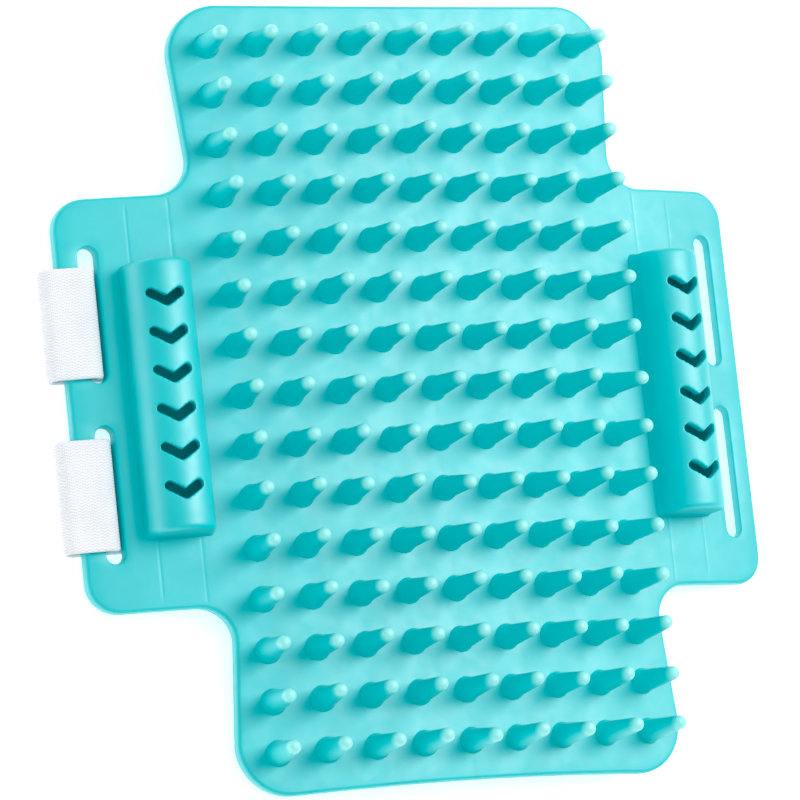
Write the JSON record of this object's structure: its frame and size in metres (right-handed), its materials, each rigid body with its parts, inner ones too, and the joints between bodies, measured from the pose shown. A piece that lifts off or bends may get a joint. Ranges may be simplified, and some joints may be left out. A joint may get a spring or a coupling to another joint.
{
  "type": "rubber curry brush",
  "caption": "Crowned rubber grooming pad with tapered massage pins, two vented half-round pockets on folding wings and elastic straps looped through slots.",
  "frame": {"origin": "middle of the pad's back face, at the top of its crown", "axes": "+X across the pad to the right wing, +Y up the pad's length, +Z out of the pin side"},
  "size_m": [0.1723, 0.1786, 0.0292],
  "materials": {
    "pad_rubber": "satin, soft moulded rubber",
    "strap_elastic": "knitted elastic webbing",
    "stitch_thread": "twisted thread",
    "pile_fabric": "soft looped pile",
    "hook_nylon": "fine moulded hooks"
  },
  "bodies": {
    "center": {"center_sheet": "pad_rubber", "pin_row_01": "pad_rubber", "pin_row_02": "pad_rubber", "pin_row_03": "pad_rubber", "pin_row_04": "pad_rubber", "pin_row_05": "pad_rubber", "pin_row_06": "pad_rubber", "pin_row_07": "pad_rubber", "pin_row_08": "pad_rubber", "pin_row_09": "pad_rubber", "pin_row_10": "pad_rubber", "pin_row_11": "pad_rubber", "pin_row_12": "pad_rubber", "pin_row_13": "pad_rubber", "pin_row_14": "pad_rubber", "pin_row_15": "pad_rubber"},
    "left_wing": {"left_wing_sheet": "pad_rubber", "left_pocket": "pad_rubber"},
    "right_wing": {"right_wing_sheet": "pad_rubber", "right_pocket": "pad_rubber"},
    "upper_loop": {"upper_strap_loop": "strap_elastic"},
    "upper_back": {"upper_strap_back": "strap_elastic", "upper_bar_tack": "stitch_thread"},
    "upper_tail": {"upper_strap_tail": "strap_elastic", "upper_pile_patch": "pile_fabric", "upper_hook_patch": "hook_nylon"},
    "lower_loop": {"lower_strap_loop": "strap_elastic"},
    "lower_back": {"lower_strap_back": "strap_elastic", "lower_bar_tack": "stitch_thread"},
    "lower_tail": {"lower_strap_tail": "strap_elastic", "lower_pile_patch": "pile_fabric", "lower_hook_patch": "hook_nylon"}
  },
  "joints": [
    {"name": "left_wing_fold", "type": "hinge", "parent": "center", "child": "left_wing", "pos_m": [-0.05405, 0, -0.0062], "axis": [0, -1, 0], "range_deg": [0, 75], "stiffness_Nm_per_rad": 0.05},
    {"name": "right_wing_fold", "type": "hinge", "parent": "center", "child": "right_wing", "pos_m": [0.05405, 0, -0.0062], "axis": [0, 1, 0], "range_deg": [0, 75], "stiffness_Nm_per_rad": 0.05},
    {"name": "upper_strap_slide", "type": "slide", "parent": "left_wing", "child": "upper_loop", "axis": [0, 1, 0], "range_m": [0, 0.0041]},
    {"name": "upper_strap_swing", "type": "hinge", "parent": "upper_loop", "child": "upper_back", "pos_m": [-0.0754, 0.0182, -0.01025], "axis": [0, 1, 0], "range_deg": [0, 165]},
    {"name": "upper_strap_bend", "type": "hinge", "parent": "upper_back", "child": "upper_tail", "pos_m": [-0.05405, 0.0182, -0.0062], "axis": [0, 1, 0], "range_deg": [0, 75]},
    {"name": "lower_strap_slide", "type": "slide", "parent": "left_wing", "child": "lower_loop", "axis": [0, 1, 0], "range_m": [-0.002, 0.0022]},
    {"name": "lower_strap_swing", "type": "hinge", "parent": "lower_loop", "child": "lower_back", "pos_m": [-0.0754, -0.0203, -0.01025], "axis": [0, 1, 0], "range_deg": [0, 165]},
    {"name": "lower_strap_bend", "type": "hinge", "parent": "lower_back", "child": "lower_tail", "pos_m": [-0.05405, -0.0203, -0.0062], "axis": [0, 1, 0], "range_deg": [0, 75]}
  ],
  "couplings": [
    {"joint": "upper_strap_bend", "follows": "left_wing_fold", "ratio": 1},
    {"joint": "lower_strap_bend", "follows": "left_wing_fold", "ratio": 1}
  ]
}
